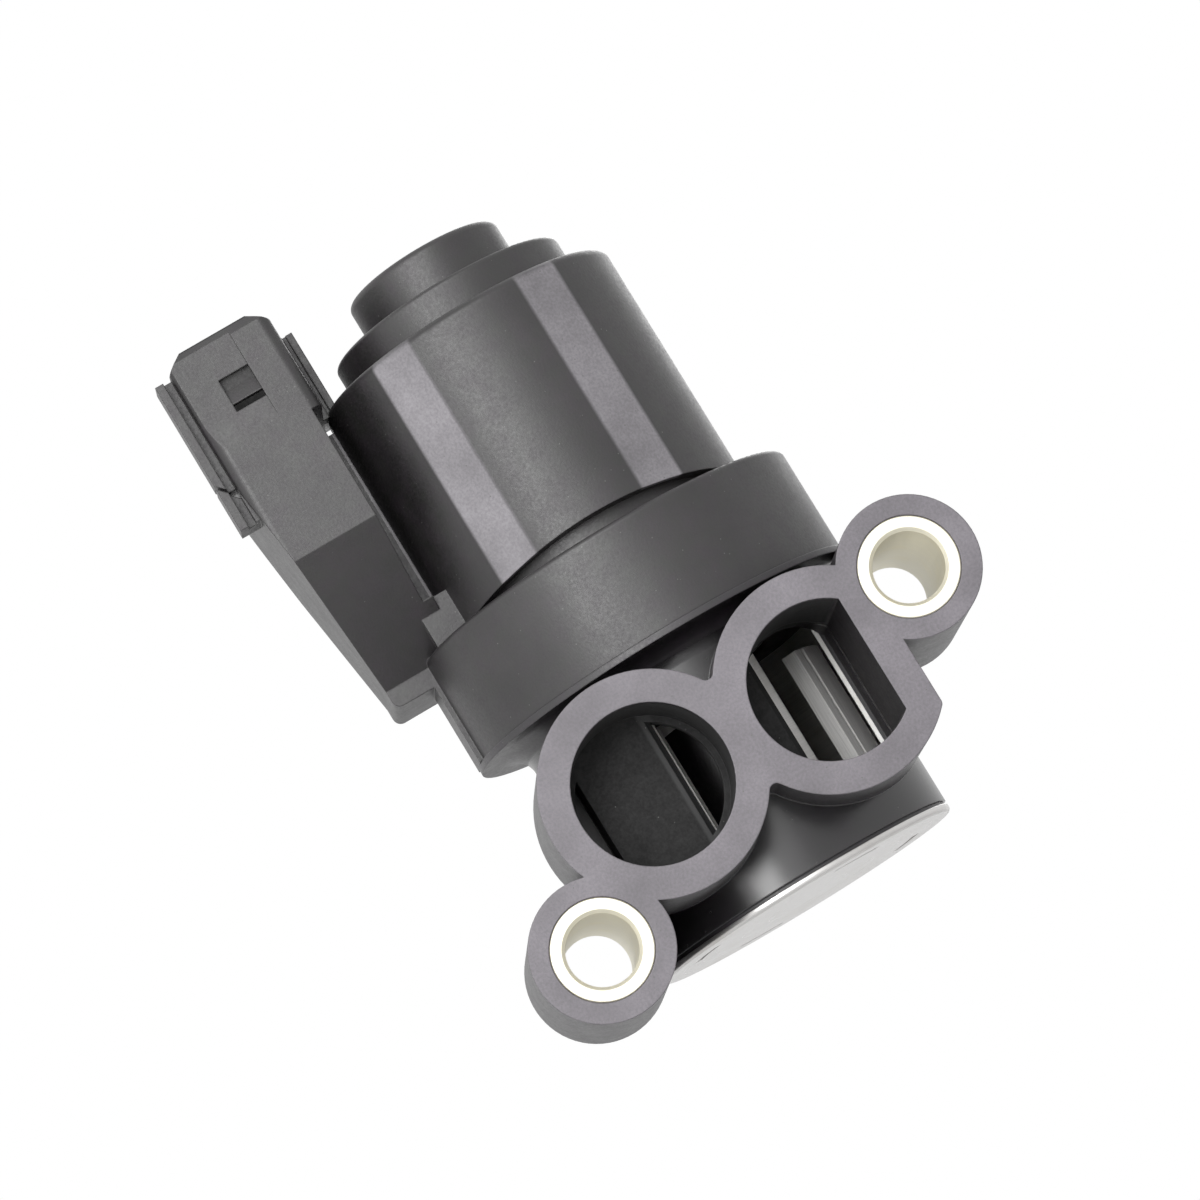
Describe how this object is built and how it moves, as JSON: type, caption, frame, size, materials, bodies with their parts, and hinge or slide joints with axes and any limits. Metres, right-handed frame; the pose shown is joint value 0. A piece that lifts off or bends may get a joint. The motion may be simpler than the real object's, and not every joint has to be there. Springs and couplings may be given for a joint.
{
  "type": "idle air control valve",
  "caption": "Rotary idle air valve: stepped motor housing with side connector, collar, valve body with a round and a D-shaped port, and bolt ears with metal bushes.",
  "frame": {"origin": "on the mounting face, midway between the two ports' centres", "axes": "+Z along the motor shaft towards the motor's end and the connector's mouth; -Y is the outward normal of the mounting face; +X across the ports towards the D-shaped port"},
  "size_m": [0.0592, 0.0447, 0.0796],
  "materials": {
    "housing_plastic": "satin",
    "body_plastic": "satin",
    "cap_steel": "satin",
    "hub_plastic": "satin",
    "sleeve_steel": "satin",
    "bush_steel": "satin",
    "seal_rubber": "matte",
    "plate_aluminium": "satin",
    "slide_aluminium": "satin",
    "spring_steel": "satin",
    "soft_iron": "satin",
    "bobbin_plastic": "satin",
    "copper_wire": "gloss",
    "shaft_steel": "satin",
    "magnet": "matte",
    "terminal_metal": "satin",
    "bearing_steel": "gloss"
  },
  "bodies": {
    "housing": {"motor_housing": "housing_plastic", "valve_body": "body_plastic", "chamber_sleeve": "sleeve_steel", "end_cap": "cap_steel", "end_cap_seal": "seal_rubber", "housing_seal": "seal_rubber", "upper_bolt_bush": "bush_steel", "lower_bolt_bush": "bush_steel", "bearing_plate": "plate_aluminium", "shaft_seal": "seal_rubber", "bearing_clip": "spring_steel", "wave_washer": "spring_steel", "flux_ring": "soft_iron", "opening_core": "soft_iron", "closing_core": "soft_iron", "opening_bobbin": "bobbin_plastic", "closing_bobbin": "bobbin_plastic", "opening_winding": "copper_wire", "closing_winding": "copper_wire", "closed_stop_pin": "shaft_steel", "open_stop_pin": "shaft_steel", "terminal_1": "terminal_metal", "terminal_2": "terminal_metal", "terminal_3": "terminal_metal", "lower_bearing_outer_ring": "bearing_steel", "lower_bearing_balls": "bearing_steel", "upper_bearing_outer_ring": "bearing_steel", "upper_bearing_balls": "bearing_steel"},
    "rotor": {"rotor_shaft": "shaft_steel", "rotor_magnet": "magnet", "lower_magnet_stop": "shaft_steel", "upper_magnet_stop": "shaft_steel", "stop_lever": "shaft_steel", "rotary_slide": "slide_aluminium", "slide_hub": "hub_plastic", "slide_clip": "spring_steel", "lower_bearing_inner_ring": "bearing_steel", "upper_bearing_inner_ring": "bearing_steel"}
  },
  "joints": [
    {"name": "slide_turn", "type": "hinge", "parent": "housing", "child": "rotor", "pos_m": [0, 0.0235, 0], "axis": [0, 0, 1], "range_deg": [-20, 40]}
  ]
}
